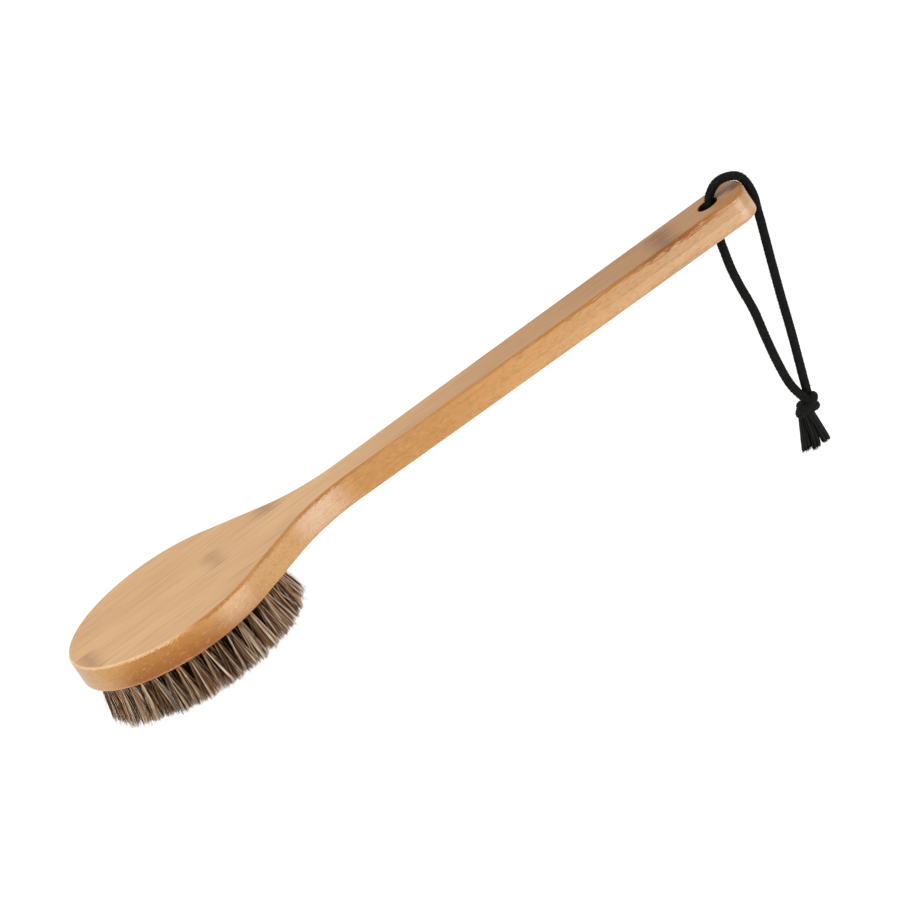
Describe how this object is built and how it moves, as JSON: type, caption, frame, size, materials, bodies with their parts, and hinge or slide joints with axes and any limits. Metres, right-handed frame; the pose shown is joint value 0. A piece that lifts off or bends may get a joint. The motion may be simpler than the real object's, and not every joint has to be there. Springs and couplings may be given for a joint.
{
  "type": "bath brush",
  "caption": "Bath brush with a flat wooden handle, a round head with rings of hair bristles below it, and a knotted hanging cord through the handle's end.",
  "frame": {"origin": "middle of the handle's section where a hand holds it, 110 mm from the handle's end", "axes": "+X along the brush from the head to the handle's end, +Z out of the flat back, away from the bristles"},
  "size_m": [0.3646, 0.1012, 0.1287],
  "materials": {
    "bamboo": "satin",
    "hair": "matte",
    "wire": "galvanised",
    "cord": "matte"
  },
  "bodies": {
    "root": {"back_board": "bamboo", "bristle_board": "bamboo", "tufts_middle": "hair", "tufts_sector_1": "hair", "tufts_sector_2": "hair", "tufts_sector_3": "hair", "tufts_sector_4": "hair", "tufts_sector_5": "hair", "tufts_sector_6": "hair", "draw_wire_1": "wire", "draw_wire_2": "wire", "draw_wire_3": "wire", "draw_wire_4": "wire", "draw_wire_5": "wire", "draw_wire_6": "wire", "draw_wire_7": "wire", "hanging_cord": "cord", "cord_knot": "cord", "cord_tail_1": "cord", "cord_tail_2": "cord"}
  },
  "joints": []
}
